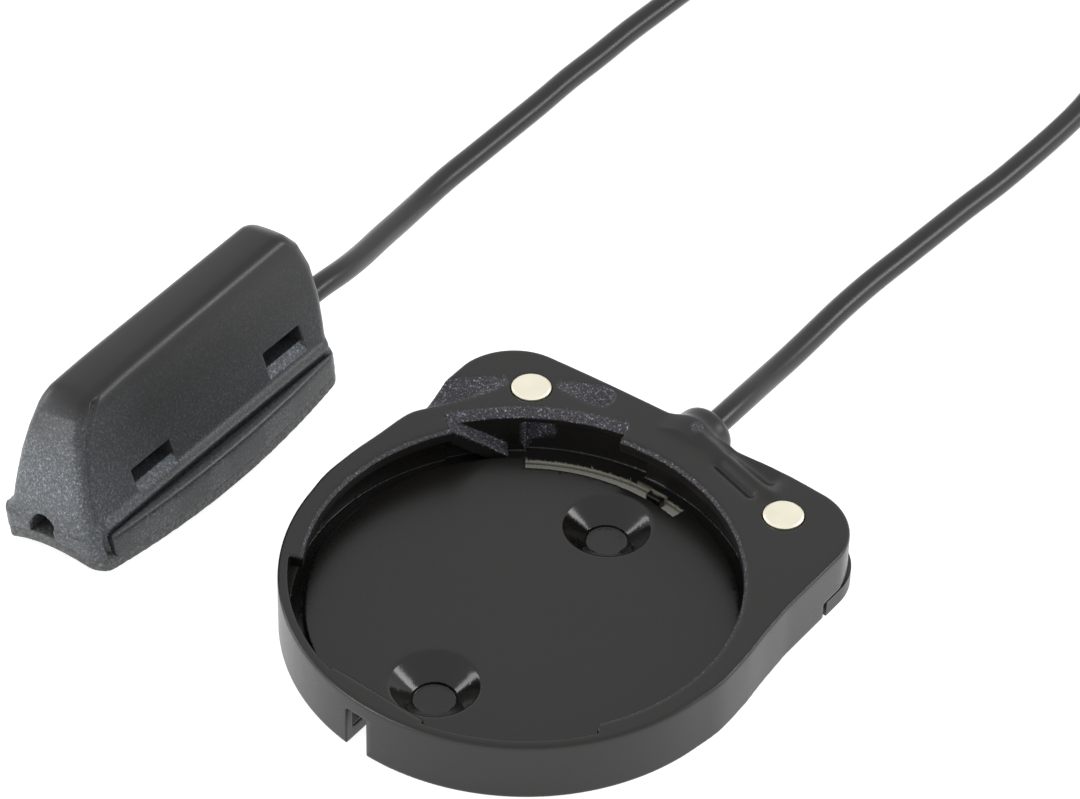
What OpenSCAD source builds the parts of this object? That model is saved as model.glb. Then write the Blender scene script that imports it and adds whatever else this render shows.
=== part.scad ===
// Wired bicycle-computer set: round bayonet bracket with two contacts, cable, and fork sensor.
// Origin: centre of the dish on its underside. +Z up, +Y towards the cable exit.

/* [Dish] */
// Outer radius of the dish wall
dish_r = 19; // [18.5:0.1:19.5]
// Height of the rim above the underside
rim_h = 5.4; // [5.2:0.1:5.8]
// Inner radius of the dish wall
bore_r = 18.2; // [18:0.1:18.3]
// Inner radius of the bayonet lips
lip_r = 17.1; // [16.8:0.1:17.4]
// Thickness of the bayonet lips
lip_t = 1.2; // [1:0.1:1.4]
// Height of the dish floor
floor_h = 2; // [1.8:0.1:2.2]
// Floor of the groove that the head's lugs turn in
groove_h = 1.4; // [1.2:0.1:1.6]
// Outer radius of the raised floor
plateau_r = 17; // [16.8:0.1:17]
// Half the spacing of the two fixing screws
screw_y = 11.2; // [10:0.1:12]
// Radius of the fixing holes
screw_r = 1.7; // [1.5:0.05:2]
// Radius of the countersinks at the floor
sink_r = 3.6; // [3.2:0.1:4]

/* [Wing] */
// Half width of the wing
wing_x = 18.45; // [18:0.05:19]
// Where the wing's back edge lies
wing_y = 22.1; // [21.6:0.1:23]
// Radius of the wing's corners
corner_r = 5; // [4:0.5:6]
// Height of the seam between housing and bottom cover
seam_h = 1.5; // [1.4:0.1:1.6]
// Sideways place of each contact
contact_x = 12.35; // [12:0.05:12.6]
// Lengthwise place of each contact
contact_y = 17.6; // [17.4:0.1:17.8]
// Radius of each contact
contact_r = 1.62; // [1.55:0.01:1.64]
// How far each contact stands proud
contact_up = 0.2; // [0.1:0.05:0.3]

/* [Cable] */
// Diameter of the cable
cable_d = 2.1; // [2:0.05:2.15]
// Height of the cable where it leaves the bracket
boss_z = 3; // [2.8:0.1:3.1]
// Sideways place of the cable boss
boss_x = 0.5; // [0.3:0.1:0.7]

/* [Sensor] */
// Sideways place of the sensor's own origin
sen_x = -33.1; // [-36:0.1:-32]
// Lengthwise place of the sensor's own origin
sen_y = -2.4; // [-4:0.1:2]
// Height of the sensor's own origin
sen_z = 0.9; // [0.9:0.05:2]
// How far the sensor leans away from the dish
sen_roll = 8; // [0:0.5:8]
// Half width of the sensor's foot at its middle
foot_w = 6.15; // [5.8:0.05:6.4]
// Half length of the sensor's foot
foot_l = 15.45; // [15:0.05:16]
// Height of the sensor's crown over its own origin
sen_h = 13.6; // [13:0.1:14]
// Height of the top of the sensor's flange
base_h = 2.95; // [2.9:0.05:3.1]
// Radius of the fork blade that the pad fits
saddle_r = 18; // [16:1:20]

/* [Hidden] */
$fn = 96;
black = [0.16, 0.155, 0.15];
cr = cable_d / 2;
ceil_h = rim_h - 1.5;
coil_c = [-20, 114];
coil_mid = 11.5;
pitch = 2.15;

// Route of the cable from the bracket's boss to the coil
bracket_route = [[boss_x, 20.6, boss_z], [boss_x, 22.5, boss_z], [boss_x, 24.8, boss_z], [0.5, 27, 2.95], [0.3, 30, 2.6],
    [-0.1, 33.5, 1.9], [-0.4, 37.5, 1.35], [-0.6, 41.5, 1.12], [-0.7, 45.5, 1.1], [-0.6, 50, 1.1], [-0.3, 54.5, 1.1],
    [0, 59, 1.1], [0.3, 63.5, 1.1], [0.7, 68, 1.1], [0.9, 72.5, 1.1], [1, 77, 1.1], [0.9, 81.5, 1.1], [0.3, 86, 1.1],
    [-0.9, 90.5, 1.1], [-2.5, 95, 1.1], [-4.1, 99.5, 1.1], [-5.2, 104, 1.1], [-6, 108.5, 1.1]];
// Route of the cable from the coil to the sensor
sensor_route = [[-33.74, 11.5, 5.45], [-33.74, 14, 5.45], [-33.75, 17, 5.4], [-33.95, 20.2, 4.85], [-34.6, 23.6, 3.95], [-35.5, 27.4, 3],
    [-36.3, 31.2, 2.1], [-37, 35, 1.4], [-37.4, 39, 1.12], [-37.4, 43.5, 1.1], [-37.4, 48, 1.1], [-37.4, 52.5, 1.1],
    [-37.5, 57, 1.1], [-37.4, 61.5, 1.1], [-37.4, 66, 1.1], [-37.2, 71, 1.1], [-37, 76, 1.1], [-36.7, 81, 1.1],
    [-36.2, 86, 1.1], [-35.6, 91, 1.1], [-35, 96, 1.1], [-34.5, 101, 1.1], [-34.1, 106, 1.1]];

function unit(v) = v / norm(v);
function tangent(p, i) = unit(p[min(i + 1, len(p) - 1)] - p[max(i - 1, 0)]);
function side(t) = unit(cross(t, [0, 0, 1]));
function ring(p, i, r, s) = let (t = tangent(p, i), a = side(t), b = cross(a, t))
    [for (j = [0:s - 1]) p[i] + r * (cos(j * 360 / s + 22.5) * a + sin(j * 360 / s + 22.5) * b)];

// A round cord swept along points
module tube(p, r, s = 8) {
    n = len(p);
    polyhedron(
        points = [for (i = [0:n - 1]) each ring(p, i, r, s)],
        faces = concat(
            [[for (j = [0:s - 1]) j]],
            [[for (j = [0:s - 1]) (n - 1) * s + s - 1 - j]],
            [for (i = [0:n - 2]) for (j = [0:s - 1]) each [
                [i * s + j, (i + 1) * s + j, (i + 1) * s + (j + 1) % s],
                [i * s + j, (i + 1) * s + (j + 1) % s, i * s + (j + 1) % s]]]));
}

// A pie slice from angle a to angle b
module slice2d(a, b, r = 30) {
    n = ceil((b - a) / 30);
    polygon(concat([[0, 0]], [for (i = [0:n]) r * [cos(a + (b - a) * i / n), sin(a + (b - a) * i / n)]]));
}
// A slice of a flat ring
module ring_slice(a, b, r0, r1, z0, z1) {
    translate([0, 0, z0]) linear_extrude(z1 - z0) intersection() {
        difference() { circle(r = r1); circle(r = r0); }
        slice2d(a, b);
    }
}
// Outline of the wing, with a slightly bowed back edge
module wing2d() {
    intersection() {
        union() {
            translate([-wing_x, 0]) square([2 * wing_x, wing_y - corner_r - 0.1]);
            translate([-wing_x + corner_r, 10]) square([2 * (wing_x - corner_r), wing_y - 9]);
            for (s = [-1, 1]) translate([s * (wing_x - corner_r), wing_y - corner_r - 0.1]) circle(r = corner_r);
        }
        translate([0, wing_y - 170]) circle(r = 170, $fn = 360);
    }
}
// Outline of the space under the wing that the bottom cover closes
module cover2d(g) {
    intersection() {
        wing2d();
        translate([-25, 15 + g]) square([50, 20]);
        difference() { circle(r = 60); circle(r = dish_r + 0.2 + g); }
    }
}
// A bayonet lip with a bevelled inner edge
module lip(a, b) {
    difference() {
        ring_slice(a, b, lip_r, bore_r + 0.2, rim_h - lip_t, rim_h);
        translate([0, 0, rim_h - 0.3]) cylinder(r1 = lip_r, r2 = lip_r + 0.31, h = 0.31);
    }
}
// A groove that deepens away from its tip
module pin_groove(x, y, a, len, r, d, round_end) {
    translate([x, y, rim_h + r]) rotate([0, 0, a]) rotate([0, 90 + atan(d / len), 0]) {
        cylinder(r = r, h = len * (round_end ? 1 : 1.6), $fn = 48);
        if (round_end) translate([0, 0, len]) sphere(r = r, $fn = 48);
    }
}

module bracket_housing() {
    color(black) {
        difference() {
            union() {
                cylinder(r = dish_r, h = rim_h);
                linear_extrude(rim_h) wing2d();
                // boss that the cable leaves through
                translate([boss_x, 21.7, boss_z]) sphere(r = 2.6);
                translate([boss_x, 21.7, boss_z]) rotate([-90, 0, 0]) rotate_extrude()
                    polygon([[0, 0], [2.55, 0], [2.55, 1.8], [2.4, 2.4], [2, 2.85], [1.5, 3.05], [0, 3.05]]);
                // ridge over the wire that runs to the right contact
                hull() {
                    translate([2.4, 20.95, rim_h - 0.9]) sphere(r = 1.16, $fn = 48);
                    translate([10.1, 18.85, rim_h - 0.96]) sphere(r = 1.16, $fn = 48);
                }
            }
            translate([0, 0, floor_h]) cylinder(r = bore_r, h = 6);
            translate([0, 0, groove_h]) difference() {
                cylinder(r = bore_r, h = 1);
                translate([0, 0, -1]) cylinder(r = plateau_r, h = 3);
            }
            // wide entry at the back, with a bevelled edge
            ring_slice(100, 145, plateau_r, bore_r + 0.2, groove_h, 7);
            intersection() {
                translate([0, 0, rim_h - 0.5]) cylinder(r1 = bore_r + 0.2, r2 = bore_r + 0.82, h = 0.52);
                linear_extrude(10) slice2d(100.5, 144);
            }
            // pocket behind the entry
            ring_slice(94, 125.8, bore_r - 0.1, bore_r + 0.65, groove_h, rim_h - 1.05);
            // curved slot through the floor, and its relief underneath
            ring_slice(77, 126, 15.65, 16.95, -1, 4);
            ring_slice(75, 128, 15.65, 18.1, -1, 0.8);
            // slit in the front wall
            translate([-2.55, -20, -1]) cube([2, 5, 4.9]);
            translate([-2.55, -20, -1]) cube([2, 5.7, 1.6]);
            // countersunk fixing holes
            for (s = [-1, 1]) translate([0, s * screw_y, -1]) {
                cylinder(r = screw_r, h = 6);
                translate([0, 0, 1.4]) cylinder(r1 = screw_r, r2 = sink_r, h = floor_h - 0.4);
                translate([0, 0, floor_h + 1]) cylinder(r = sink_r, h = 1);
            }
            // room under the wing
            translate([0, 0, -1]) linear_extrude(seam_h + 1) cover2d(0);
            for (s = [-1, 1]) translate([s * contact_x, contact_y, 0]) {
                cylinder(r = 2.5, h = ceil_h);
                cylinder(r = contact_r + 0.07, h = 10);
            }
            translate([-12.35, 19.8, 1]) cube([24.7, 1.3, 2.4]);
            translate([boss_x, 19.7, boss_z]) rotate([-90, 0, 0]) cylinder(r = 1.75, h = 1.6);
            translate([boss_x, 19.7, boss_z]) rotate([-90, 0, 0]) cylinder(r = cr + 0.05, h = 6);
            for (s = [-1, 1]) translate([s * 8.6, 18.55, 1]) cylinder(r = 0.55, h = 2.6, $fn = 32);
            // grooves that lead the head's pins on to the contacts
            pin_groove(-14.6, 16.25, -128, 5, 1.75, 0.75, false);
            pin_groove(-10.5, 19.3, 17, 3.2, 1.5, 0.55, true);
            pin_groove(5, 21.5, -8, 4.6, 1.6, 0.16, true);
        }
        // bayonet lips
        lip(-35, 100);
        lip(146.4, 212.3);
        intersection() {
            lip(253.5, 282);
            rotate([0, 0, -92.2]) translate([lip_r, -20, 0]) cube([20, 40, 10]);
        }
        // ramp that lifts the head's lug out again
        intersection() {
            ring_slice(130.8, 147, lip_r, bore_r + 0.3, groove_h - 0.1, rim_h);
            rotate([0, 0, 138.6]) translate([15, 0, 0]) rotate([90, 0, 90]) linear_extrude(6)
                polygon([[-2.6, 1.2], [-1, 1.45], [3, 4.3], [3, 5.83], [2.4, 5.4], [-2.4, floor_h], [-2.6, 1.86]]);
        }
        // tooth in the curved slot
        ring_slice(84.5, 89.5, 16.2, 17.3, 0.85, 1.6);
    }
}

module bottom_cover() {
    color(black) difference() {
        linear_extrude(seam_h - 0.05) cover2d(0.08);
        for (s = [-1, 1]) translate([s * 8.6, 18.55, -1]) {
            cylinder(r = 0.65, h = 4, $fn = 32);
            cylinder(r = 1.05, h = 1.6, $fn = 32);
        }
        translate([boss_x, 19.7, boss_z]) rotate([-90, 0, 0]) cylinder(r = 1.75, h = 6);
        translate([boss_x, 21.3, boss_z]) rotate([-90, 0, 0]) cylinder(r = 2.75, h = 6);
    }
}

module cover_screws() {
    color("silver") for (s = [-1, 1]) translate([s * 8.6, 18.55, 0]) difference() {
        union() {
            translate([0, 0, 0.05]) cylinder(r = 1, h = 0.54, $fn = 32);
            translate([0, 0, 0.1]) cylinder(r = 0.5, h = 3.2, $fn = 32);
        }
        translate([-0.8, -0.12, -1]) cube([1.6, 0.24, 1.3]);
        translate([-0.12, -0.8, -1]) cube([0.24, 1.6, 1.3]);
    }
}

// A sprung contact: round head, flange that stops it, and a stem inside its spring
module contact_plunger(s) {
    color([0.93, 0.9, 0.82]) translate([s * contact_x, contact_y, 0]) rotate_extrude()
        polygon([[0, 2.35], [0.6, 2.35], [0.6, 3.3], [2.2, 3.3], [2.2, ceil_h - 0.05], [contact_r, ceil_h - 0.05],
            [contact_r, rim_h + contact_up - 0.12], [contact_r - 0.15, rim_h + contact_up - 0.02], [contact_r - 0.6, rim_h + contact_up], [0, rim_h + contact_up]]);
}
module contact_plunger_left() { contact_plunger(-1); }
module contact_plunger_right() { contact_plunger(1); }

module contact_spring(s) {
    turns = 3;
    color("lightgrey") translate([s * contact_x, contact_y, 0])
        tube([for (i = [0:turns * 12]) [1.2 * cos(i * 30), 1.2 * sin(i * 30), 1.92 + (3.28 - 0.15 - 1.92) * i / (turns * 12)]], 0.15, 6);
}
module contact_spring_left() { contact_spring(-1); }
module contact_spring_right() { contact_spring(1); }

module contact_tab(s) {
    color([0.8, 0.68, 0.35]) translate([s * contact_x, contact_y, seam_h - 0.05]) cylinder(r = 2.1, h = 0.3);
}
module contact_tab_left() { contact_tab(-1); }
module contact_tab_right() { contact_tab(1); }

module bracket_core_wires() {
    color([0.75, 0.75, 0.78]) for (s = [-1, 1])
        tube([[boss_x + s * 0.42, 20.18, boss_z], [boss_x + s * 1.2, 20.15, 2.7], [s * 4, 20.45, 2.35], [s * 7, 20.5, 2.2],
            [s * 10.2, 20.5, 2.1], [s * 11.6, 20.2, 2.05], [s * 12.35, 19.4, 2.05]], 0.3, 6);
}

module cable_clamp() {
    color("silver") translate([boss_x, 20.7, boss_z]) rotate([-90, 0, 0]) difference() {
        cylinder(r = 1.6, h = 0.55);
        translate([0, 0, -1]) cylinder(r = cr + 0.01, h = 4);
        translate([-0.5, 0, -1]) cube([1, 3, 4]);
    }
}

module cable_bracket_run() { color(black) tube(bracket_route, cr); }
module cable_sensor_run() { color(black) tube(sensor_route, cr); }

module cable_coil() {
    color(black) translate([coil_c[0], coil_c[1], 0]) rotate_extrude()
        translate([coil_mid - pitch - cr - 0.05, 0]) union() {
            translate([1, 0]) square([2 * pitch + 2 * cr + 0.1 - 2, 2 * pitch + 2 * cr + 0.1]);
            translate([0, 1]) square([2 * pitch + 2 * cr + 0.1, 2 * pitch + 2 * cr + 0.1 - 2]);
            for (x = [1, 2 * pitch + 2 * cr + 0.1 - 1]) for (z = [1, 2 * pitch + 2 * cr + 0.1 - 1]) translate([x, z]) circle(r = 1, $fn = 24);
        }
}

module coil_tie() {
    w = 2 * pitch + 2 * cr + 0.14;
    color([0.12, 0.12, 0.12]) translate([coil_c[0] - 1.5, coil_c[1] + coil_mid - w / 2 - 0.5, 0]) difference() {
        cube([3, w + 1, w + 0.5]);
        translate([-1, 0.5, -1]) cube([5, w, w + 1.01]);
    }
}

// The sensor's own frame: origin under its middle, leaning away from the dish
module in_sensor() {
    translate([sen_x, sen_y, sen_z]) rotate([0, -sen_roll, 0]) children();
}
wire_z = 4.6;
front_strap = [-8.8, 4.65, 4.3, 5.75];
rear_strap = [7.75, 4.55, 4.85, 6.4];

module sensor_grommet() {
    color(black) in_sensor() translate([0, 14.3, wire_z]) rotate([-90, 0, 0]) rotate_extrude($fn = 48)
        polygon([[cr + 0.04, 0], [1.5, 0], [1.5, 2], [1.3, 2.4], [cr + 0.04, 2.4]]);
}

// Outline of the sensor's foot, bowed on all four sides
module foot2d(g = 0) {
    intersection() {
        union() {
            square([2 * (foot_w - g), 2 * (foot_l - 1.35)], center = true);
            square([2 * (foot_w - 2.3), 2 * (foot_l - g)], center = true);
            for (a = [-1, 1]) for (b = [-1, 1]) translate([a * (foot_w - 2.3), b * (foot_l - 1.4)]) circle(r = 1.35 - g, $fn = 48);
        }
        for (q = [0]) intersection() {
            translate([112 - foot_w + g, 0]) circle(r = 112, $fn = 360);
            translate([-112 + foot_w - g, 0]) circle(r = 112, $fn = 360);
            translate([0, 36 - foot_l + g]) circle(r = 36, $fn = 180);
            translate([0, foot_l - g - 36]) circle(r = 36, $fn = 180);
        }
    }
}
// Fork blade of radius r under the sensor
module blade(r) {
    translate([0, 0, 1.05 - saddle_r]) rotate([90, 0, 0]) cylinder(r = r, h = 60, center = true, $fn = 180);
}
// A flat slab from y0 to y1 with rounded corners, used to build the sensor's body
module slab(y0, y1, w, r, z) {
    translate([0, (y0 + y1) / 2, z]) linear_extrude(0.05) {
        square([2 * (w - r), y1 - y0], center = true);
        square([2 * w, y1 - y0 - 2 * r], center = true);
        for (a = [-1, 1]) for (b = [-1, 1]) translate([a * (w - r), b * ((y1 - y0) / 2 - r)]) circle(r = r, $fn = 24);
    }
}
module loaf(g) {
    hull() {
        slab(-15.35 + g, 15.5 - g, 4.5 - g, 1.1, base_h);
        slab(-14.4 + g, 16.25 - g, 3.73 - g, 1.1, 6.5);
        slab(-12.9 + g, 16.2 - g, 2.95 - g, 1, 10.2 - g * 0.5);
        slab(-11.4 + g, 15.6 - g, 2.5 - g * 0.9, 0.9, 12.1 - g);
        slab(-10.2 + g, 14.9 - g, 2.05 - g * 0.8, 0.8, sen_h - 0.65 - g);
        slab(-7 + g, 14.1 - g, 1.45 - g * 0.5, 0.6, sen_h - 0.1 - g);
    }
}
module strap_way(p, g) {
    translate([-12, p[0] - g, p[2] - g * 2]) cube([24, p[1] + 2 * g, p[3] - p[2] + 3 * g]);
}
// Sloping sill below a strap slot
module sill(p, q) {
    translate([0, p[0] + p[1] - 0.01, 0]) rotate([90, 0, 0]) linear_extrude(p[1] - 0.02)
        polygon([[q * 3.2, p[2] + 0.05], [q * 4.6, p[2] - 0.85], [q * 5.5, p[2] - 0.85], [q * 5.5, p[2] + 0.05]]);
}

module sensor_housing() {
    color(black) in_sensor() difference() {
        loaf(0);
        difference() {
            translate([0, 0, -0.02]) loaf(1.2);
            strap_way(front_strap, 0.8);
            strap_way(rear_strap, 0.8);
        }
        for (p = [front_strap, rear_strap]) {
            strap_way(p, 0);
            sill(p, 1);
            sill(p, -1);
        }
        translate([-0.35, -18, 2.05]) rotate([-90, 0, 0]) cylinder(r = 1.28, h = 8, $fn = 48);
        translate([0, 13.6, wire_z]) rotate([-90, 0, 0]) cylinder(r = 1.53, h = 6, $fn = 48);
    }
}

module sensor_base() {
    color(black) in_sensor() difference() {
        union() {
            linear_extrude(base_h - 0.5) foot2d();
            translate([0, 0, base_h - 0.51]) linear_extrude(0.26) foot2d(0.2);
            translate([0, 0, base_h - 0.26]) linear_extrude(0.22) foot2d(0.5);
        }
        blade(saddle_r + 1.05);
        translate([-0.35, -18, 2.05]) rotate([-90, 0, 0]) cylinder(r = 1.28, h = 8, $fn = 48);
    }
}

module sensor_pad() {
    color([0.13, 0.13, 0.13]) in_sensor() intersection() {
        translate([0, 0, -1]) linear_extrude(5) foot2d(0.05);
        difference() { blade(saddle_r + 1.02); blade(saddle_r); }
    }
}

module reed_switch() {
    color([0.6, 0.75, 0.7]) in_sensor() translate([0, -5.3, 9.4]) rotate([-90, 0, 0]) rotate_extrude($fn = 48)
        polygon([[0, 0], [0.5, 0.1], [0.95, 0.6], [1.1, 1.3], [1.1, 12.7], [0.95, 13.4], [0.5, 13.9], [0, 14]]);
}
module reed_leads() {
    color("silver") in_sensor() for (s = [-1, 1]) {
        translate([0, 1.7 + s * 8.4, 9.4]) rotate([90, 0, 0]) cylinder(r = 0.25, h = 2.6, center = true, $fn = 24);
        translate([0, 1.7 + s * 9.7, 8.05]) cylinder(r = 0.25, h = 1.6, $fn = 24);
    }
}
module reed_strip() {
    color([0.1, 0.4, 0.2]) in_sensor() translate([-1.6, -9.5, 7.22]) cube([3.2, 22, 0.8]);
}
module sensor_core_wires() {
    color([0.75, 0.75, 0.78]) in_sensor() for (s = [-1, 1])
        tube([[s * 0.42, 13.5, wire_z], [s * 0.45, 13.5, 5.2], [s * 0.55, 13.5, 6], [s * 0.7, 13.4, 6.9], [s * 0.8, 13.1, 7.6], [s * 0.8, 12.95, 7.95]], 0.3, 6);
}

bracket_housing();
bottom_cover();
cover_screws();
contact_plunger_left();
contact_plunger_right();
contact_spring_left();
contact_spring_right();
contact_tab_left();
contact_tab_right();
bracket_core_wires();
cable_clamp();
cable_bracket_run();
cable_coil();
coil_tie();
cable_sensor_run();
sensor_grommet();
sensor_housing();
sensor_base();
sensor_pad();
reed_switch();
reed_leads();
reed_strip();
sensor_core_wires();
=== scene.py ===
import math

import bpy
import bmesh
import numpy as np
from mathutils import Matrix, Vector


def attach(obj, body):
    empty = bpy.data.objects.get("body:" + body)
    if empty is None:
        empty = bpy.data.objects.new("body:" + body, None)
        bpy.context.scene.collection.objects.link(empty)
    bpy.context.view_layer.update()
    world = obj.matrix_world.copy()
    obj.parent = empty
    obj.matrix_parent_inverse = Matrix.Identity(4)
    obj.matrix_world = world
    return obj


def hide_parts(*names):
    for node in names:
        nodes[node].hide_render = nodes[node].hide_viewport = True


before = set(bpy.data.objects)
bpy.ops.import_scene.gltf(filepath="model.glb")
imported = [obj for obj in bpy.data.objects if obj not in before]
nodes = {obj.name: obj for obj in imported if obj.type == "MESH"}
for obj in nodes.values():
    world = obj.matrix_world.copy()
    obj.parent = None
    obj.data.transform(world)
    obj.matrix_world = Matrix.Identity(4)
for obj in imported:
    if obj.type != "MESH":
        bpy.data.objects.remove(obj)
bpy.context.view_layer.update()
ROOT = "bracket_and_sensor"
MM = 0.001
scene = bpy.context.scene


# ---------------------------------------------------------------- camera
def make_camera():
    az, el, roll = 0.62192883, 0.72373138, 0.02675032
    tx, ty, D, F = -1.40763234, -17.30959675, 358.12887204, 4585.53211895
    f = Vector((-math.sin(az) * math.cos(el), math.cos(az) * math.cos(el), -math.sin(el)))
    r = Vector((math.cos(az), math.sin(az), 0))
    u = r.cross(f)
    r2 = r * math.cos(roll) + u * math.sin(roll)
    u2 = u * math.cos(roll) - r * math.sin(roll)
    loc = -(r2 * tx + u2 * ty + f * D) * MM
    cam = bpy.data.cameras.new("camera")
    cam.sensor_fit = "HORIZONTAL"
    cam.sensor_width = 36.0
    cam.lens = F * 36.0 / 1080.0
    cam.clip_start = 0.005
    cam.clip_end = 20
    cam.dof.use_dof = False
    ob = bpy.data.objects.new("camera", cam)
    m = Matrix.Identity(4)
    for i in range(3):
        m[i][0], m[i][1], m[i][2], m[i][3] = r2[i], u2[i], -f[i], loc[i]
    ob.matrix_world = m
    scene.collection.objects.link(ob)
    scene.camera = ob
    return ob


camera = make_camera()


# ---------------------------------------------------------------- materials
class Mat:
    """A small helper that builds node materials."""

    def __init__(self, name, **sockets):
        self.mat = bpy.data.materials.new(name)
        self.mat.use_nodes = True
        self.nt = self.mat.node_tree
        self.bsdf = self.nt.nodes["Principled BSDF"]
        for k, v in sockets.items():
            self.bsdf.inputs[k.replace("_", " ")].default_value = v
        tc = self.nt.nodes.new("ShaderNodeTexCoord")
        self.coord = tc.outputs["Object"]

    def add(self, kind, **props):
        n = self.nt.nodes.new(kind)
        for k, v in props.items():
            setattr(n, k, v)
        return n

    def link(self, a, b):
        self.nt.links.new(a, b)

    def scaled(self, s):
        m = self.add("ShaderNodeMapping")
        m.inputs["Scale"].default_value = s if hasattr(s, "__len__") else (s, s, s)
        self.link(self.coord, m.inputs["Vector"])
        return m.outputs["Vector"]

    def noise(self, scale, detail=3.0, rough=0.6, vec=None):
        n = self.add("ShaderNodeTexNoise")
        n.inputs["Scale"].default_value = scale
        n.inputs["Detail"].default_value = detail
        n.inputs["Roughness"].default_value = rough
        self.link(vec or self.coord, n.inputs["Vector"])
        return n.outputs["Fac"]

    def voronoi(self, scale, feature="F1", vec=None):
        n = self.add("ShaderNodeTexVoronoi", feature=feature)
        n.inputs["Scale"].default_value = scale
        self.link(vec or self.coord, n.inputs["Vector"])
        return n.outputs["Distance"]

    def ramp(self, fac, stops):
        n = self.add("ShaderNodeValToRGB")
        els = n.color_ramp.elements
        while len(els) < len(stops):
            els.new(0.5)
        for e, (p, c) in zip(els, stops):
            e.position = p
            e.color = c if len(c) == 4 else (*c, 1)
        self.link(fac, n.inputs["Fac"])
        return n.outputs["Color"]

    def maprange(self, fac, a, b, c, d):
        n = self.add("ShaderNodeMapRange")
        for k, v in zip(("From Min", "From Max", "To Min", "To Max"), (a, b, c, d)):
            n.inputs[k].default_value = v
        self.link(fac, n.inputs["Value"])
        return n.outputs["Result"]

    def math(self, op, a, b=None):
        n = self.add("ShaderNodeMath", operation=op)
        for i, x in enumerate((a, b)):
            if x is None:
                continue
            if isinstance(x, (int, float)):
                n.inputs[i].default_value = x
            else:
                self.link(x, n.inputs[i])
        return n.outputs[0]

    def bump(self, height, strength, distance, normal=None):
        n = self.add("ShaderNodeBump")
        n.inputs["Strength"].default_value = strength
        n.inputs["Distance"].default_value = distance
        self.link(height, n.inputs["Height"])
        if normal is not None:
            self.link(normal, n.inputs["Normal"])
        return n.outputs["Normal"]

    def set(self, name, out):
        self.link(out, self.bsdf.inputs[name])


def satin_plastic(name, col=(0.0105, 0.0102, 0.0098), rough=0.34, grain=0.25, spec=0.5, grain_scale=9000.0):
    """Satin black moulded plastic: fine grain, faint flow variation, slightly polished patches."""
    m = Mat(name, Specular_IOR_Level=spec)
    big = m.noise(90.0, 3.0, 0.55)
    fine = m.noise(grain_scale, 2.0, 0.7)
    c = m.ramp(big, [(0.3, tuple(0.85 * x for x in col)), (0.7, tuple(1.2 * x for x in col))])
    m.set("Base Color", c)
    r = m.math("ADD", m.maprange(big, 0.3, 0.7, rough - 0.03, rough + 0.04), m.maprange(fine, 0.3, 0.7, -0.03, 0.03))
    m.set("Roughness", r)
    m.set("Normal", m.bump(fine, grain, 0.00002))
    return m.mat


def spark_plastic(name, col=(0.013, 0.013, 0.0135), rough=0.42, scale=5200.0, strength=0.9, painted_sparkle=0.16):
    """Spark-eroded surface: sharp sub-millimetre pits, with painted glints as the brightest flecks of the base colour.
    """
    m = Mat(name, Specular_IOR_Level=0.5)
    v = m.voronoi(scale)
    n = m.noise(scale * 0.8, 4.0, 0.75)
    h = m.math("ADD", m.math("MULTIPLY", v, 0.6), n)
    # the ramp's top stop is a painted glint: bright flecks drawn into the base colour
    c = m.ramp(n, [(0.42, col), (0.62, tuple(x * 2.2 for x in col)), (0.72, (painted_sparkle, painted_sparkle, painted_sparkle * 1.05))])
    m.set("Base Color", c)
    m.set("Roughness", m.maprange(n, 0.35, 0.7, rough + 0.08, rough - 0.12))
    m.set("Normal", m.bump(h, strength, 0.00006))
    return m.mat


def metal(name, col, rough=0.25, scratch=0.15, brushed=None):
    m = Mat(name, Metallic=1.0)
    n = m.noise(2600.0, 4.0, 0.6) if brushed is None else m.noise(800.0, 3.0, 0.6, m.scaled(brushed))
    big = m.noise(500.0, 2.0, 0.5)
    m.set("Base Color", m.ramp(big, [(0.3, tuple(0.93 * x for x in col)), (0.7, col)]))
    m.set("Roughness", m.maprange(n, 0.3, 0.7, rough - 0.05, rough + 0.1))
    m.set("Normal", m.bump(n, scratch, 0.00001))
    return m.mat


housing_mat = satin_plastic("housing_satin_black")
cover_mat = satin_plastic("cover_satin_black", rough=0.38)
spark_mat = spark_plastic("spark_texture_black")
sensor_mat = satin_plastic("sensor_fine_grain_black", col=(0.012, 0.012, 0.0125), rough=0.36, grain=0.5, grain_scale=5200.0)
pad_mat = spark_plastic("pad_grained_rubber", col=(0.036, 0.037, 0.037), rough=0.55, scale=4200.0, strength=1.0, painted_sparkle=0.26)
grommet_mat = satin_plastic("grommet_soft_black", rough=0.5)
screw_mat = metal("screw_zinc", (0.6, 0.6, 0.62), 0.3)
contact_mat = metal("contact_plated", (0.95, 0.91, 0.75), 0.42, 0.2)
spring_mat = metal("spring_wire", (0.62, 0.62, 0.64), 0.22)
brass_mat = metal("tab_brass", (0.78, 0.6, 0.3), 0.3)
wire_mat = metal("core_tinned_copper", (0.75, 0.73, 0.7), 0.3)
lead_mat = metal("lead_tinned", (0.7, 0.7, 0.7), 0.3)
clamp_mat = metal("clamp_steel", (0.55, 0.55, 0.57), 0.28)


def glass():
    m = Mat("reed_glass_greenish", Transmission_Weight=0.85, IOR=1.5)
    n = m.noise(900.0, 2.0, 0.5)
    m.set("Base Color", m.ramp(n, [(0.3, (0.62, 0.8, 0.74)), (0.7, (0.7, 0.88, 0.82))]))
    m.set("Roughness", m.maprange(n, 0.3, 0.7, 0.03, 0.08))
    return m.mat


def board():
    m = Mat("strip_board_green", Specular_IOR_Level=0.5)
    n = m.noise(1500.0, 3.0, 0.6)
    m.set("Base Color", m.ramp(n, [(0.3, (0.02, 0.12, 0.05)), (0.7, (0.03, 0.17, 0.07))]))
    m.set("Roughness", m.maprange(n, 0.3, 0.7, 0.3, 0.45))
    return m.mat


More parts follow.
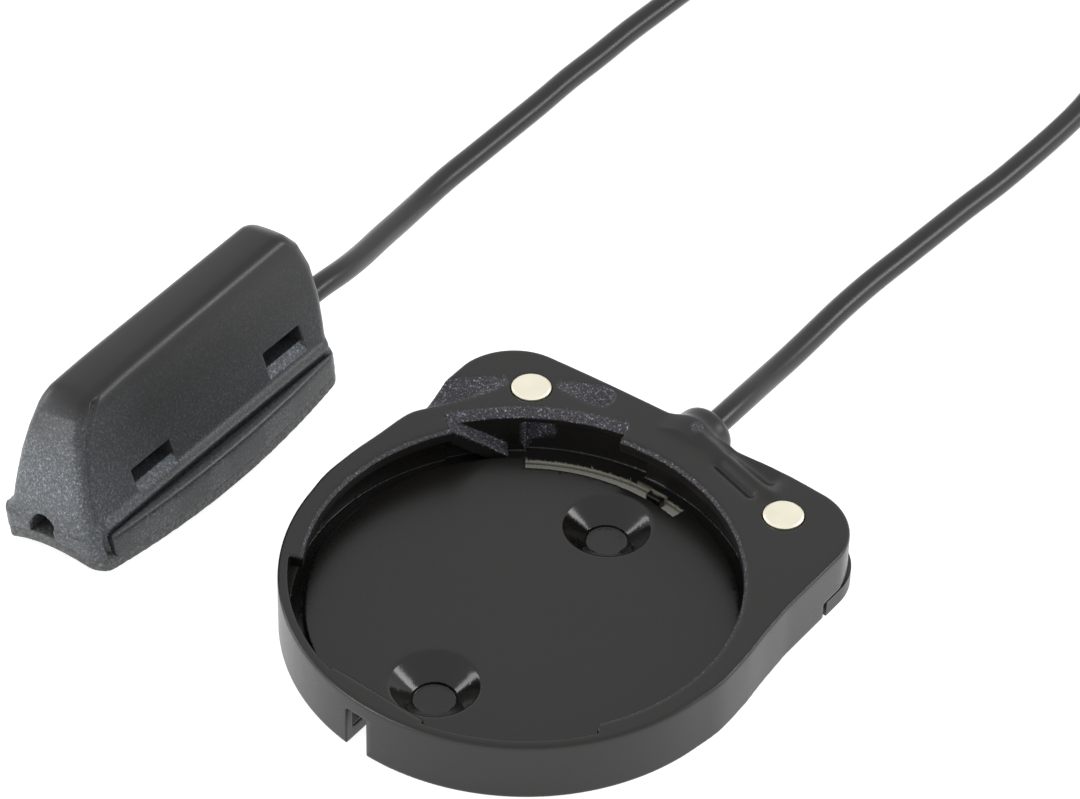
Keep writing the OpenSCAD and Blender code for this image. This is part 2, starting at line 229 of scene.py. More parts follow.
def jacket():
    """Satin black cable jacket with faint tone variation and handling marks."""
    m = Mat("cable_jacket_black", Specular_IOR_Level=0.45)
    big = m.noise(160.0, 3.0, 0.5)
    fine = m.noise(6500.0, 2.0, 0.6)
    m.set("Base Color", m.ramp(big, [(0.3, (0.005, 0.005, 0.005)), (0.7, (0.008, 0.008, 0.008))]))
    m.set("Roughness", m.math("ADD", m.maprange(big, 0.3, 0.7, 0.27, 0.33), m.maprange(fine, 0.3, 0.7, -0.03, 0.03)))
    m.set("Normal", m.bump(fine, 0.2, 0.00002))
    return m.mat


glass_mat, board_mat, jacket_mat = glass(), board(), jacket()

node_mats = {
    "bracket_housing": housing_mat, "bottom_cover": cover_mat, "cover_screws": screw_mat,
    "contact_plunger_left": contact_mat, "contact_plunger_right": contact_mat,
    "contact_spring_left": spring_mat, "contact_spring_right": spring_mat,
    "contact_tab_left": brass_mat, "contact_tab_right": brass_mat, "bracket_core_wires": wire_mat,
    "cable_clamp": clamp_mat, "coil_tie": grommet_mat, "sensor_grommet": grommet_mat,
    "sensor_housing": sensor_mat, "sensor_base": sensor_mat, "sensor_pad": pad_mat,
    "reed_switch": glass_mat, "reed_leads": lead_mat, "reed_strip": board_mat, "sensor_core_wires": wire_mat,
}
for name, mat in node_mats.items():
    o = nodes[name]
    o.data.materials.clear()
    o.data.materials.append(mat)


# ---------------------------------------------------------------- shells modelled as smooth solids
import openvdb


def allmax(parts):
    out = parts[0]
    for q in parts[1:]:
        out = np.maximum(out, q)
    return out


def smax(a, b, k):
    h = np.maximum(k - np.abs(a - b), 0) / k
    return np.maximum(a, b) + h * h * k * 0.25


def smin(a, b, k):
    return -smax(-a, -b, k)


def mesh_from_field(name, field, lo, hi, h, to_row=None, keep=None):
    """field(X, Y, z) is below zero inside. Sampled slice by slice, then meshed as one closed skin."""
    n = [int(math.ceil((hi[i] - lo[i]) / h)) + 1 for i in range(3)]
    xs = lo[0] + h * np.arange(n[0])
    ys = lo[1] + h * np.arange(n[1])
    X, Y = np.meshgrid(xs, ys, indexing="ij")
    vol = np.empty(n, np.float32)
    for k in range(n[2]):
        vol[:, :, k] = field(X, Y, lo[2] + h * k)
    vol = np.clip(vol / h, -3, 3)
    vol[0], vol[-1], vol[:, 0], vol[:, -1], vol[:, :, 0], vol[:, :, -1] = (3,) * 6
    grid = openvdb.FloatGrid(3.0)
    grid.copyFromArray(vol)
    pts, tris, quads = grid.convertToPolygons(isovalue=0.0, adaptivity=0.004)
    pts = pts.astype(float) * h + np.array(lo)
    a, b, c, d = (pts[quads[:, i]] for i in range(4))
    if np.einsum("ij,ij->i", a, np.cross(b, c) + np.cross(c, d)).sum() < 0:
        tris, quads = tris[:, ::-1], quads[:, ::-1]
    return pts, (tris, quads)


def make_object(name, pts, faces, mats, body, replaced, attrs=None):
    tris, quads = faces
    loops = np.concatenate([tris.ravel(), quads.ravel()])
    starts = np.concatenate([np.arange(len(tris)) * 3, 3 * len(tris) + np.arange(len(quads)) * 4])
    me = bpy.data.meshes.new(name)
    me.vertices.add(len(pts))
    me.vertices.foreach_set("co", (pts * MM).astype(np.float32).ravel())
    me.loops.add(len(loops))
    me.loops.foreach_set("vertex_index", loops.astype(np.int32))
    me.polygons.add(len(starts))
    me.polygons.foreach_set("loop_start", starts.astype(np.int32))
    me.update(calc_edges=True)
    me.validate()
    me.shade_smooth()
    for k, v in (attrs or {}).items():
        at = me.attributes.new(k, "FLOAT", "POINT")
        at.data.foreach_set("value", v.astype(np.float32))
    ob = bpy.data.objects.new(name, me)
    scene.collection.objects.link(ob)
    for m in mats:
        me.materials.append(m)
    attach(ob, body)
    if replaced:
        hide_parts(*replaced)
    return ob


def capsule2(X, Y, a, b, r):
    """Distance to a flat capsule from a to b."""
    ax, ay = a
    dx, dy = b[0] - ax, b[1] - ay
    t = np.clip(((X - ax) * dx + (Y - ay) * dy) / (dx * dx + dy * dy), 0, 1)
    return np.hypot(X - ax - t * dx, Y - ay - t * dy) - r, t


def in_arc(th, r, a, b):
    """Distance, below zero inside, to the wedge from angle a to b in degrees. th is measured from the wedge's middle."""
    mid, half = (a + b) / 2, (b - a) / 2
    d = (th - mid + 180) % 360 - 180
    return (np.abs(d) - half) * np.pi / 180 * r


def groove(X, Y, z, tip, end, r, depth, open_end):
    """A round-bottomed groove that deepens from its tip to its end."""
    (ax, ay), (bx, by) = tip, end
    L = math.hypot(bx - ax, by - ay)
    ux, uy = (bx - ax) / L, (by - ay) / L
    s = (X - ax) * ux + (Y - ay) * uy
    w = -(X - ax) * uy + (Y - ay) * ux
    t = s if open_end else np.minimum(s, L)
    cz = 5.4 + r - depth * np.clip(t, -1, 3 * L) / L
    over = np.zeros_like(s) if open_end else np.maximum(s - L, 0)
    return np.sqrt(w * w + (z - cz) ** 2 + over ** 2) - r


L_TIP, L_END = (-14.75, 16.5), (-17.9, 12.55)
R_TIP, R_END = (-10.4, 19.3), (-7.35, 20.25)


def housing_field(X, Y, z):
    r = np.hypot(X, Y)
    th = np.degrees(np.arctan2(Y, X))
    # outline: wing with a bowed back edge, run smoothly into the dish
    yb = Y + 0.45 * (X / 14) ** 2 * np.clip((Y - 8) / 10, 0, 1)
    wx = 18.45 + 0.45 * np.clip((9.5 - Y) / 6, 0, 1) - 0.32 * np.exp(-((Y - 10.6) / 1.5) ** 2) * (X < 0)
    qx, qy = np.abs(X) - (wx - 5), np.abs(yb - 8.6) - (13.5 - 5)
    wing = np.hypot(np.maximum(qx, 0), np.maximum(qy, 0)) + np.minimum(np.maximum(qx, qy), 0) - 5
    outline = smin(wing, r - 19, 0.8)
    d, t = capsule2(X, Y, (1.9, 21.1), (10.0, 19.0), 0.0)
    v1, t1 = capsule2(X, Y, (5.0, 21.7), (9.0, 20.65), 0.0)
    v2, t2 = capsule2(X, Y, (5.0, 19.35), (8.8, 18.15), 0.0)
    top = 5.4 + (0.42 - 0.16 * t) * np.exp(-(d / 0.62) ** 2) - 0.45 * np.exp(-(v1 / 0.85) ** 2) - 0.32 * np.exp(-(v2 / 0.45) ** 2)
    s = smax(outline, z - top, 0.32)
    s = smax(s, -z, 0.2)
    # cable boss
    bx, bz = X - 0.5, z - 3.0
    br = np.hypot(bx, bz)
    boss = smax(br - 2.5, Y - 24.75, 1.3)
    boss = np.maximum(boss, 20.5 - Y)
    ball = np.sqrt(bx ** 2 + (Y - 22.0) ** 2 + bz ** 2) - 2.62
    boss = smin(boss, ball, 0.4)
    s = smin(s, boss, 0.9)
    s = np.maximum(s, -z)
    # dish and groove under the lips
    cav = np.maximum(r - 18.2, 2.0 - z)
    chan = np.maximum(np.maximum(r - 18.2, 17.0 - r), 1.4 - z)
    s = smax(s, -np.minimum(cav, chan), 0.12)
    # wide entry at the back with a bevelled edge
    back = 18.4 + 0.62 * np.clip((z - 4.85) / 0.55, 0, 1)
    entry = np.maximum(np.maximum(r - back, 1.4 - z), in_arc(th, r, 100, 146.4))
    entry = np.maximum(entry, 16.98 - r)
    s = smax(s, -entry, 0.1)
    # pocket in the entry's back wall
    pocket = allmax([r - 18.75, 18.1 - r, in_arc(th, r, 94, 125.8), 1.4 - z, z - 4.35])
    s = np.maximum(s, -pocket)
    # lips with bevelled inner edges
    bev = 0.3 * np.clip((z - 5.1) / 0.3, 0, 1)
    lipz = np.maximum(4.2 - z, z - 5.4)
    inner = smax(17.1 + bev - r, lipz, 0.16)
    lipa = np.maximum(np.maximum(inner, r - 18.5), in_arc(th, r, 146.4, 212.3))
    lipb = np.maximum(np.maximum(inner, r - 18.5), in_arc(th, r, -35, 100))
    chord = 17.1 + bev - (X * math.cos(math.radians(-92.25)) + Y * math.sin(math.radians(-92.25)))
    lipc = np.maximum(np.maximum(smax(chord, lipz, 0.16), r - 18.5), in_arc(th, r, -106.5, -78))
    # the sloping end of the left lip, which lifts a lug out again
    a = (146.4 - ((th + 360) % 360)) / (146.4 - 130.6)
    zt = 5.4 - 3.45 * a
    ramp = allmax([smax(17.1 - r, z - zt, 0.14), r - 18.5, in_arc(th, r, 130.6, 146.6), zt - 1.5 - z, 1.35 - z])
    s = -allmax([-s, -lipa, -lipb, -lipc, -ramp])
    nick = allmax([r - 18.0, 16.9 - r, in_arc(th, r, -40.5, -34.2) + 0.9 * (r - 17.0) - 0.35, 4.3 - z])
    s = np.maximum(s, -nick)
    # curved slot and the relief under it
    slot = np.maximum(np.maximum(np.abs(r - 16.33) - 0.66, in_arc(th, r, 77, 126)), z - 3)
    tooth = allmax([r - 17.2, 16.25 - r, in_arc(th, r, 84.5, 89.5), z - 1.75, 0.8 - z])
    relief = allmax([r - 18.3, 15.65 - r, in_arc(th, r, 75, 128), z - 1.0])
    s = np.maximum(s, -np.minimum(slot, relief))
    s = np.minimum(s, tooth)
    # slit in the front wall
    slit = allmax([np.abs(X + 1.55) - 1.0, Y + 15.0, z - 3.85])
    slit2 = allmax([np.abs(X + 1.55) - 1.0, Y + 14.2, z - 0.7])
    s = smax(s, -np.minimum(slit, slit2), 0.06)
    # countersunk holes, each with a thin web at the bottom
    for sy in (-1, 1):
        q = np.hypot(X, Y - sy * 11.2)
        cone = (q - (1.7 + (z - 0.4) * 1.1875)) * 0.644
        hole = allmax([np.minimum(np.maximum(cone, 0.4 - z), q - 1.7), 0.16 - z, z - 2.7])
        s = smax(s, -hole, 0.1)
    # grooves that lead the head's pins on to the contacts
    s = smax(s, -groove(X, Y, z, L_TIP, L_END, 1.75, 0.78, True), 0.22)
    s = smax(s, -groove(X, Y, z, R_TIP, R_END, 1.4, 0.6, False), 0.22)
    # bores of the contacts, and the hollow for the bottom cover
    for sx in (-1, 1):
        q = np.hypot(X - sx * 12.35, Y - 17.6)
        s = np.maximum(s, -np.minimum(q - 1.69, np.maximum(q - 2.5, z - 3.9)))
    if z < 1.55:
        well = allmax([outline + 0.0, 15.0 - Y, 19.2 - r, z - 1.5])
        s = np.maximum(s, -(well - 0.3))
    chan2 = allmax([np.abs(X) - 12.35, np.abs(Y - 20.45) - 0.65, np.abs(z - 2.2) - 1.2])
    s = np.maximum(s, -chan2)
    s = np.maximum(s, -allmax([br - 1.1, 19.7 - Y]))
    s = np.maximum(s, -allmax([br - 1.75, 19.7 - Y, Y - 21.3]))
    return s


def housing_masks(p):
    x, y, z = p.T
    r = np.hypot(x, y)
    th = np.degrees(np.arctan2(y, x))
    m = np.zeros(len(p))

    def near_groove(tip, end, rad, depth, op):
        g = groove(x, y, z, tip, end, rad, depth, op)
        return ((np.abs(g) < 0.12) & (z < 5.385)).astype(float)

    m = np.maximum(m, near_groove(L_TIP, L_END, 1.75, 0.78, True))
    m = np.maximum(m, near_groove(R_TIP, R_END, 1.4, 0.6, False))
    wedge = (th > 100.2) & (th < 146)
    m = np.maximum(m, (wedge & (r > 18.36) & (r < 19.15) & (z > 4.8)).astype(float))
    a = (146.4 - th) / (146.4 - 130.6)
    zt = 5.4 - 3.45 * a
    m = np.maximum(m, ((th > 130.4) & (th < 146.6) & (r > 17.05) & (r < 18.42) & (np.abs(z - zt) < 0.16)).astype(float))
    # painted highlight: a thin band on the lips' inner top edges gets the lighter speckled colours, drawn as a bright
    # edge line
    e = ((r > 17.08) & (r < 17.36) & (z > 5.1) & (z < 5.41) & ((th > -35) & (th < 100) | (th > 146) | (th < -147.7))).astype(float)
    m = np.maximum(m, 0.7 * e)
    # painted highlight on the pocket's end face and on the back wall beside it
    m = np.maximum(m, ((np.abs(th - 125.8) < 0.7) & (r > 18.3) & (r < 18.85) & (z > 1.5) & (z < 4.4)).astype(float))
    m = np.maximum(m, ((th > 119) & (th < 124.6) & (r > 18.6) & (r < 18.85) & (z > 2.6) & (z < 4.3)).astype(float))
    # painted highlight: a small bright spot on top of the cable boss
    m = np.maximum(m, (np.hypot(x - 1.2, y - 21.6) < 0.55) * (z > 5.2) * 0.9)
    cone = np.zeros(len(p))
    for sy in (-1, 1):
        q = np.hypot(x, y - sy * 11.2)
        cone = np.maximum(cone, ((q < 3.62) & (z < 1.96)).astype(float))
    # painted light: a pale olive strip on the slot's outer wall stands in for the lit ground seen through the slot
    painted_slot_light = ((th > 76.5) & (th < 126.5) & (r > 16.9) & (r < 17.2) & (z < 1.97)).astype(float)
    return {"spark_and_painted_light": m, "edge": e, "cone": cone, "painted_slot_light": painted_slot_light}


def shell_material(name, base, spark_and_painted_light, edge=None):
    """Satin plastic that turns to EDM-eroded texture where the mesh says so, with polished lips and cones. That mask
    also carries painted highlights and painted sheen, drawn in the texture's lighter colours.
    """
    m = Mat(name, Specular_IOR_Level=0.46)

    def attr(n):
        a = m.add("ShaderNodeAttribute", attribute_name=n)
        return a.outputs["Fac"]

    def mix(fac, a, b):
        n = m.add("ShaderNodeMix", data_type="RGBA")
        m.link(fac, n.inputs["Factor"])
        m.link(a, n.inputs["A"])
        m.link(b, n.inputs["B"])
        return n.outputs["Result"]

    def mixf(fac, a, b):
        n = m.add("ShaderNodeMix", data_type="FLOAT")
        m.link(fac, n.inputs["Factor"])
        for v, k in ((a, "A"), (b, "B")):
            if isinstance(v, (int, float)):
                n.inputs[k].default_value = v
            else:
                m.link(v, n.inputs[k])
        return n.outputs["Result"]

    sp = attr("spark_and_painted_light")
    big = m.noise(70.0, 3.0, 0.55)
    fine = m.noise(base.get("grain_scale", 8000.0), 2.0, 0.7)
    c0 = m.ramp(big, [(0.3, tuple(0.88 * x for x in base["col"])), (0.7, tuple(1.15 * x for x in base["col"]))])
    n1 = m.noise(spark_and_painted_light["scale"], 4.0, 0.8)
    v1 = m.voronoi(spark_and_painted_light["scale"] * 1.2)
    # the ramp's top stop is a painted glint: bright flecks drawn into the base colour
    c1 = m.ramp(n1, [(0.40, spark_and_painted_light["col"]), (0.56, tuple(x * 2.4 for x in spark_and_painted_light["col"])), (0.68, spark_and_painted_light["painted_glint"])])
    c2 = mix(sp, c0, c1)
    # painted light on the slot's outer wall, where the mask above says so
    if "painted_slot_light" in base:
        c2 = mix(attr("painted_slot_light"), c2, m.ramp(n1, [(0.3, base["painted_slot_light"]), (0.7, tuple(1.3 * x for x in base["painted_slot_light"]))]))
    m.set("Base Color", c2)
    rough = m.math("ADD", m.maprange(big, 0.3, 0.7, base["rough"] - 0.03, base["rough"] + 0.04), m.maprange(fine, 0.3, 0.7, -0.04, 0.04))
    rough = mixf(attr("cone"), rough, 0.12)
    rough = mixf(attr("edge"), rough, 0.24)
    m.set("Roughness", mixf(sp, rough, m.maprange(n1, 0.35, 0.7, 0.5, 0.28)))
    b0 = m.bump(fine, base["grain"], 0.00002)
    hh = m.math("MULTIPLY", m.math("ADD", n1, m.math("MULTIPLY", v1, 0.5)), sp)
    m.set("Normal", m.bump(hh, spark_and_painted_light["strength"], 0.00009, b0))
    return m.mat


housing_shell_mat = shell_material(
    "housing_shell_black",
    dict(col=(0.0062, 0.0055, 0.005), rough=0.3, grain=0.18, painted_slot_light=(0.17, 0.165, 0.135)),
    dict(col=(0.014, 0.014, 0.0175), painted_glint=(0.46, 0.46, 0.56), scale=5400.0, strength=1.0))
sensor_shell_mat = shell_material(
    "sensor_shell_black",
    dict(col=(0.0075, 0.007, 0.0068), rough=0.33, grain=0.3, grain_scale=6500.0),
    dict(col=(0.042, 0.0475, 0.053), painted_glint=(0.36, 0.39, 0.43), scale=5200.0, strength=0.8))

H = 0.1
pts, quads = mesh_from_field("housing", housing_field, (-19.6, -19.6, -0.3), (19.6, 25.4, 6.2), H)
housing = make_object("housing_shell", pts, quads, [housing_shell_mat], ROOT, ["bracket_housing"], housing_masks(pts))


# ---------------------------------------------------------------- sensor, in its own frame
S_O = np.array([-33.1, -2.4, 0.9])
S_PHI = math.radians(8.0)
S_M = np.array([[math.cos(S_PHI), 0, -math.sin(S_PHI)], [0, 1, 0], [math.sin(S_PHI), 0, math.cos(S_PHI)]])


def to_row(p):
    return p @ S_M.T + S_O


FRONT = np.array([(-1, -15.3), (2, -15.3), (3, -15.2), (5, -14.85), (6.5, -14.45), (8.3, -13.9), (10.2, -13.0), (11.8, -11.9), (13, -10.6), (14.5, -8.6)])
REAR = np.array([(-1, 15.4), (3, 15.5), (5, 15.9), (7.3, 16.25), (9.9, 16.2), (12, 15.6), (13.3, 14.6), (14.5, 13.2)])


def foot_sd(X, Y, g=0.0):
    w = 6.15 - g - 1.05 * (Y / 15.3) ** 2
    l = 15.45 - g - 0.35 * (X / 5.1) ** 2
    rc = 1.3
    qx, qy = np.abs(X) - (w - rc), np.abs(Y) - (l - rc)
    return np.hypot(np.maximum(qx, 0), np.maximum(qy, 0)) + np.minimum(np.maximum(qx, qy), 0) - rc


def saddle(X):
    return 1.15 - 10.5 + np.sqrt(np.maximum(10.5 ** 2 - X ** 2, 0))


def sensor_parts(X, Y, z):
    w = 4.5 - 0.216 * (z - 2.95)
    w = w + 0.4 * np.exp(-((z - 3.15) / 0.42) ** 2) if z < 5 else w + 0 * X
    yf = np.interp(z, FRONT[:, 0], FRONT[:, 1]) + 0.5 * (X / 4.5) ** 2
    yr = np.interp(z, REAR[:, 0], REAR[:, 1]) - 0.6 * (X / 4.5) ** 2
    rc = 1.0
    yc, hl = (yf + yr) / 2, (yr - yf) / 2
    qx, qy = np.abs(X) - (w - rc), np.abs(Y - yc) - (hl - rc)
    side = np.hypot(np.maximum(qx, 0), np.maximum(qy, 0)) + np.minimum(np.maximum(qx, qy), 0) - rc
    top = 13.35 + 0.022 * Y + 0.2 * (1 - (X / 2.3) ** 2) - 0.35 * np.clip((-Y - 4) / 8, 0, 1) ** 2
    body = smax(side * 0.97, z - top, 0.9)
    return body, yf, w


def sensor_body_field(X, Y, z):
    body, yf, w = sensor_parts(X, Y, z)
    # front wall runs down to the pad, out to the far flange's side
    cap = np.maximum(foot_sd(X, Y), Y + 13.95)
    cap = np.maximum(cap, smax(z - 3.0, -X - 6.2, 0.3))
    cap = np.maximum(cap, X - w - 0.1)
    cap = smax(cap, z - 3.15, 0.6)
    s = smin(body, cap, 0.5)
    # groove behind the near front corner
    crease = np.maximum(np.abs(Y - yf - 1.1) - 0.12, w - 0.22 - X)
    crease = np.maximum(crease, z - 12.4)
    s = smax(s, -crease, 0.45)
    crease2 = np.maximum(np.abs(Y - yf - 1.1) - 0.12, X + w - 0.22)
    s = smax(s, -np.maximum(crease2, z - 12.2), 0.45)
    # strap slots with sloping sills
    for y0, y1, z0, z1, zs in ((-8.8, -4.15, 4.3, 5.75, 3.55), (7.75, 12.3, 4.85, 6.4, 4.1)):
        hole = np.maximum(np.maximum(y0 - Y, Y - y1), np.maximum(z0 - z, z - z1))
        hole = np.maximum(hole, 1.2 - np.abs(X))
        sill = np.maximum(np.maximum(y0 - Y, Y - y1), np.maximum(zs - z, z - z0 - 0.2))
        sill = np.maximum(sill, (w - 0.45 + (z0 - z) * 0.6) - np.abs(X))
        s = smax(s, -np.minimum(hole, sill), 0.08)
    s = np.maximum(s, saddle(X) + 1.05 - z)
    # arch under the front wall
    arch = np.maximum(np.hypot(X + 0.35, np.maximum(z - 2.55, 0)) - 1.28, Y + 10)
    s = smax(s, -arch, 0.1)
    # cable hole
    s = np.maximum(s, -np.maximum(np.hypot(X, z - 4.6) - 1.15, 12 - Y))
    return s


def sensor_base_field(X, Y, z):
    f = foot_sd(X, Y)
    body, yf, w = sensor_parts(X, Y, z)
    s = smax(f, z - 2.95, 0.7)
    s = np.maximum(s, saddle(X) + 1.05 - z)
    # gutter beside the body
    gut = np.maximum(2.6 - z, w - 0.1 - np.abs(X))
    gut = np.maximum(gut, np.abs(X) - w - 0.22)
    s = smax(s, -gut, 0.25)
    # the near flange stops behind the front wall, the far one runs into it
    s = np.maximum(s, -(Y + 13.65))
    s = smax(s, -np.maximum(Y + 13.3, 4.0 - X), 0.25)
    return s


def sensor_pad_field(X, Y, z):
    f = foot_sd(X, Y, 0.04)
    s = np.maximum(smax(f, saddle(X) - z, 0.15), z - saddle(X) - 1.04)
    s = np.maximum(s, 0.03 - (S_O[2] + math.sin(S_PHI) * X + math.cos(S_PHI) * z))
    return s


def body_masks(p):
    x, y, z = p.T
    yf = np.interp(z, FRONT[:, 0], FRONT[:, 1]) + 0.5 * (x / 4.5) ** 2
    # partly painted sheen: the front face's speckle is real, and its weight peaking near z 6.5 and fading above and
    # below paints a bright reflection band
    front = np.clip(1 - (y - yf - 0.15) / 0.5, 0, 1) * np.clip((12.6 - z) / 3.0, 0, 1) * (0.5 + 0.5 * np.exp(-((z - 6.5) / 3.2) ** 2))
    # partly painted reflection: the sides' base 0.1 of texture is real; the extra towards the bottom and the front
    # paints a glossy reflection gradient
    side = 0.1 + 0.22 * np.clip((9 - z) / 7, 0, 1) + 0.3 * np.clip((-5 - y) / 9, 0, 1)
    side = side * np.clip((12.6 - z) / 1.2, 0, 1)
    sill = np.zeros(len(p))
    w = 4.5 - 0.216 * (z - 2.95)
    for y0, y1, z0, z1, zs in ((-8.8, -4.15, 4.3, 5.75, 3.55), (7.75, 12.3, 4.85, 6.4, 4.1)):
        sill = np.maximum(sill, ((y > y0 - 0.02) & (y < y1 + 0.02) & (z < z0 + 0.06) & (z > zs - 0.1) & (np.abs(x) < w + 0.05) & (np.abs(x) > w - 0.5)).astype(float))
    dark = np.clip((z - 12.6) / 0.6, 0, 1)
    return {"spark_and_painted_light": np.maximum(np.maximum(front, side), sill) * (1 - dark), "edge": 0 * x, "cone": 0 * x}


def base_masks(p):
    x, y, z = p.T
    patch = ((y > -11.2) & (y < -6.6)) | ((y > 4.2) & (y < 8.2)) | ((y > -2.6) & (y < -0.4))
    face = (z < 2.4) & (foot_sd(x, y) > -0.2)
    return {"spark_and_painted_light": (0.2 + 0.16 * (patch & face)), "edge": ((z > 2.5) & (foot_sd(x, y) > -0.7)).astype(float) * 0.6, "cone": 0 * x}


HS = 0.09
lo, hi = (-6.9, -16.4, -1.3), (6.9, 17.4, 14.4)
pts, quads = mesh_from_field("sensor", sensor_body_field, lo, hi, HS)
make_object("sensor_shell", to_row(pts), quads, [sensor_shell_mat], ROOT, ["sensor_housing"], body_masks(pts))
pts, quads = mesh_from_field("base", sensor_base_field, lo, (6.9, 17.4, 3.6), HS)
make_object("sensor_flange", to_row(pts), quads, [sensor_shell_mat], ROOT, ["sensor_base"], base_masks(pts))
pts, quads = mesh_from_field("pad", sensor_pad_field, lo, (6.9, 17.4, 3.0), HS)
make_object("sensor_pad_skin", to_row(pts), quads, [pad_mat], ROOT, ["sensor_pad"])


# ---------------------------------------------------------------- cable
D_CABLE = 2.1
bracket_route = [(0.5, 21.5, 3), (0.5, 22.5, 3), (0.5, 24.8, 3), (0.5, 27, 2.95), (0.3, 30, 2.6), (-0.1, 33.5, 1.9),
                 (-0.4, 37.5, 1.35), (-0.6, 41.5, 1.12), (-0.7, 45.5, 1.1), (-0.6, 50, 1.1), (-0.3, 54.5, 1.1),
                 (0, 59, 1.1), (0.3, 63.5, 1.1), (0.7, 68, 1.1), (0.9, 72.5, 1.1), (1, 77, 1.1), (0.9, 81.5, 1.1),
                 (0.3, 86, 1.1), (-0.9, 90.5, 1.1), (-2.5, 95, 1.1), (-4.1, 99.5, 1.1), (-5.2, 104, 1.1), (-6, 108.5, 1.1)]
sensor_route = [(-33.74, 11.5, 5.45), (-33.74, 14, 5.45), (-33.75, 17, 5.4), (-33.95, 20.2, 4.85), (-34.6, 23.6, 3.95),
                (-35.5, 27.4, 3), (-36.3, 31.2, 2.1), (-37, 35, 1.4), (-37.4, 39, 1.12), (-37.4, 43.5, 1.1),
                (-37.4, 48, 1.1), (-37.4, 52.5, 1.1), (-37.5, 57, 1.1), (-37.4, 61.5, 1.1), (-37.4, 66, 1.1),
                (-37.2, 71, 1.1), (-37, 76, 1.1), (-36.7, 81, 1.1), (-36.2, 86, 1.1), (-35.6, 91, 1.1), (-35, 96, 1.1),
                (-34.5, 101, 1.1), (-34.1, 106, 1.1)]
COIL = Vector((-20.0, 114.0))
R_IN, R_MID, R_OUT = 9.35, 11.5, 13.65
Z1, Z2, Z3 = 1.1, 3.25, 5.4


def coil_points():
    """Three turns in at the bottom, three out above them, then one and a half on top."""
    a0, a1 = 8.0, 180.0 + 7 * 360.0
    # (angle, radius, height) stations; radii step over a third of a turn
    st = [(a0, R_OUT, Z1)]
    for k, (r, z) in enumerate([(R_OUT, Z1), (R_MID, Z1), (R_IN, Z1), (R_IN, Z2), (R_MID, Z2), (R_OUT, Z2), (R_MID, Z3)]):
        st.append((a0 + 360 * k + 0.1, r, z))
        st.append((a0 + 360 * k + 300, r, z))
    st.append((a0 + 360 * 7 + 0.1, R_OUT, Z3))
    st.append((a1 - 40, R_OUT, Z3))
    st.append((a1, R_OUT + 0.35, Z3 - 0.5))
    ang = np.arange(a0, a1 + 1, 12.0)
    A, R, Z = (np.array([s[i] for s in st]) for i in range(3))

    def smooth(V):
        out = []
        for a in ang:
            i = min(max(int(np.searchsorted(A, a) - 1), 0), len(A) - 2)
            t = min(max((a - A[i]) / (A[i + 1] - A[i]), 0), 1)
            t = t * t * (3 - 2 * t)
            out.append(V[i] * (1 - t) + V[i + 1] * t)
        return np.array(out)

    r, z = smooth(R), smooth(Z)
    t = np.radians(ang)
    return [(COIL.x + r[i] * math.cos(t[i]), COIL.y + r[i] * math.sin(t[i]), z[i]) for i in range(len(ang))]


def catmull(pts, sub=4):
    p = [Vector(q) for q in pts]
    out = []
    for i in range(len(p) - 1):
        a, b, c, d = p[max(i - 1, 0)], p[i], p[i + 1], p[min(i + 2, len(p) - 1)]
        for k in range(sub):
            t = k / sub
            out.append(0.5 * ((2 * b) + (c - a) * t + (2 * a - 5 * b + 4 * c - d) * t * t + (3 * b - a - 3 * c + d) * t ** 3))
    out.append(p[-1])
    return out


back = [(x, y, z) for x, y, z in reversed(sensor_route)]
lead_out = [(-34.0, 110.5, 3.7), (-34.1, 106, 2.35), (-34.35, 102.5, 1.6), (-34.7, 99, 1.2)]
full = bracket_route + coil_points() + lead_out + [p for p in back if p[1] < 97]
line = catmull(full, 3)
cable_len = sum((line[i + 1] - line[i]).length for i in range(len(line) - 1))
print("cable length mm", round(cable_len, 1))
cu = bpy.data.curves.new("cable", "CURVE")
cu.dimensions = "3D"
sp = cu.splines.new("POLY")
sp.points.add(len(line) - 1)
for i, p in enumerate(line):
    sp.points[i].co = (p.x * MM, p.y * MM, p.z * MM, 1)
cu.bevel_depth = D_CABLE / 2 * MM
cu.bevel_resolution = 6
cu.use_fill_caps = True
cable = bpy.data.objects.new("cable", cu)
scene.collection.objects.link(cable)
cu.materials.append(jacket_mat)
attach(cable, ROOT)
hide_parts("cable_bracket_run", "cable_coil", "cable_sensor_run")


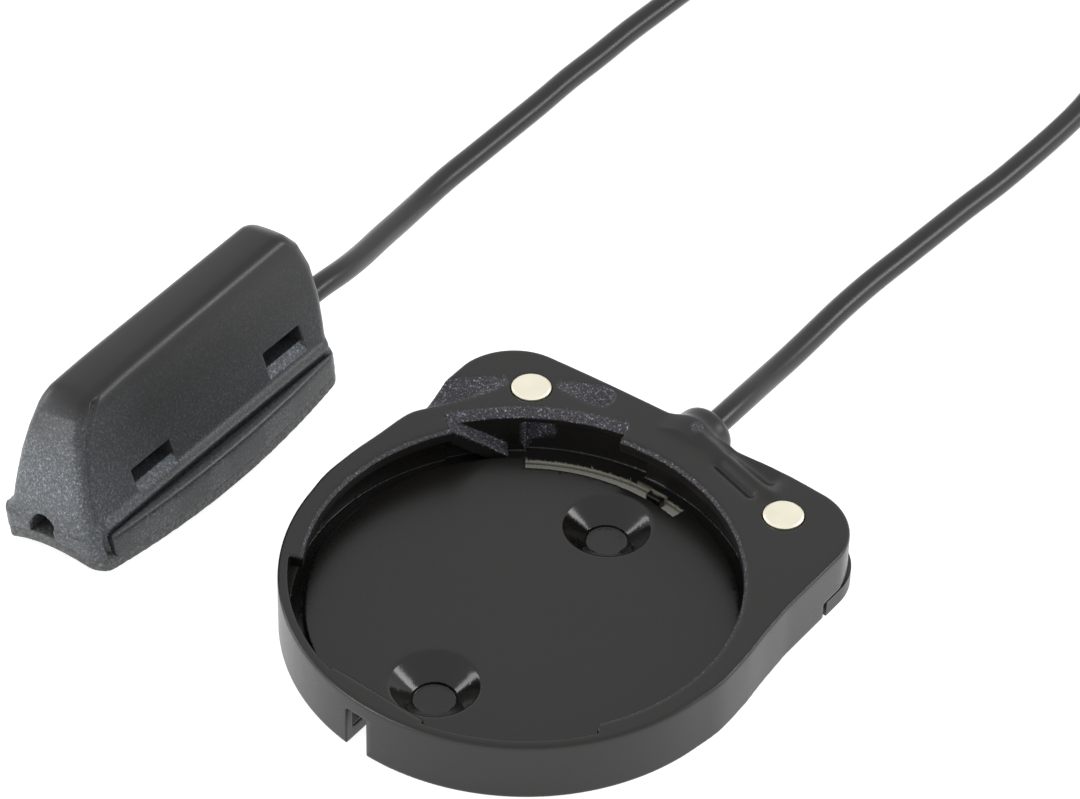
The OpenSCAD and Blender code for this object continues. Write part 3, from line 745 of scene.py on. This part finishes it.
# ---------------------------------------------------------------- floor, light
def stage_floor():
    me = bpy.data.meshes.new("floor")
    s = 3.0
    me.from_pydata([(-s, -s, 0), (s, -s, 0), (s, s, 0), (-s, s, 0)], [], [(0, 1, 2, 3)])
    ob = bpy.data.objects.new("floor", me)
    ob.location.z = -0.00002
    scene.collection.objects.link(ob)
    m = Mat("floor_white", Roughness=0.9, Specular_IOR_Level=0.1)
    n = m.noise(3.0, 2.0, 0.5)
    m.set("Base Color", m.ramp(n, [(0.3, (0.49, 0.49, 0.49)), (0.7, (0.51, 0.51, 0.51))]))
    geo = m.add("ShaderNodeNewGeometry")
    ln = m.add("ShaderNodeVectorMath", operation="LENGTH")
    m.link(geo.outputs["Position"], ln.inputs[0])
    sep = m.add("ShaderNodeSeparateXYZ")
    m.link(geo.outputs["Position"], sep.inputs[0])
    # painted shadow: the floor's glow drops to a dim olive inside about 18.2 mm of the centre and behind about y = -5
    # mm
    outside_painted_shadow = m.math("MAXIMUM", m.maprange(ln.outputs["Value"], 0.01815, 0.01835, 0.0, 1.0), m.maprange(sep.outputs["Y"], -0.004, -0.006, 0.0, 1.0))
    m.set("Emission Color", m.ramp(outside_painted_shadow, [(0.0, (0.13, 0.13, 0.11)), (1.0, (1, 1, 1))]))
    m.bsdf.inputs["Emission Strength"].default_value = 0.82
    me.materials.append(m.mat)


def area(name, loc, size, power, target=(-0.01, 0.0, 0.0), col=(1, 1, 1)):
    li = bpy.data.lights.new(name, "AREA")
    li.shape = "RECTANGLE"
    li.size, li.size_y = size
    li.energy = power
    li.color = col
    ob = bpy.data.objects.new(name, li)
    ob.location = loc
    ob.rotation_euler = (Vector(target) - Vector(loc)).to_track_quat("-Z", "Y").to_euler()
    scene.collection.objects.link(ob)
    return ob


stage_floor()
world = bpy.data.worlds.new("world")
scene.world = world
world.use_nodes = True
bg = world.node_tree.nodes["Background"]
bg.inputs[0].default_value = (1, 1, 1, 1)
bg.inputs[1].default_value = 0.93
area("left_box", (-0.74, -0.18, 0.25), (0.35, 0.25), 1.2)
area("right_back_box", (0.53, 0.49, 0.35), (0.4, 0.2), 1.6)
area("front_box", (-0.35, -0.67, 0.12), (0.4, 0.2), 2.2, target=(-0.033, -0.005, 0.005))
scene.view_settings.view_transform = "Standard"
scene.view_settings.look = "None"
scene.view_settings.exposure = 0.0
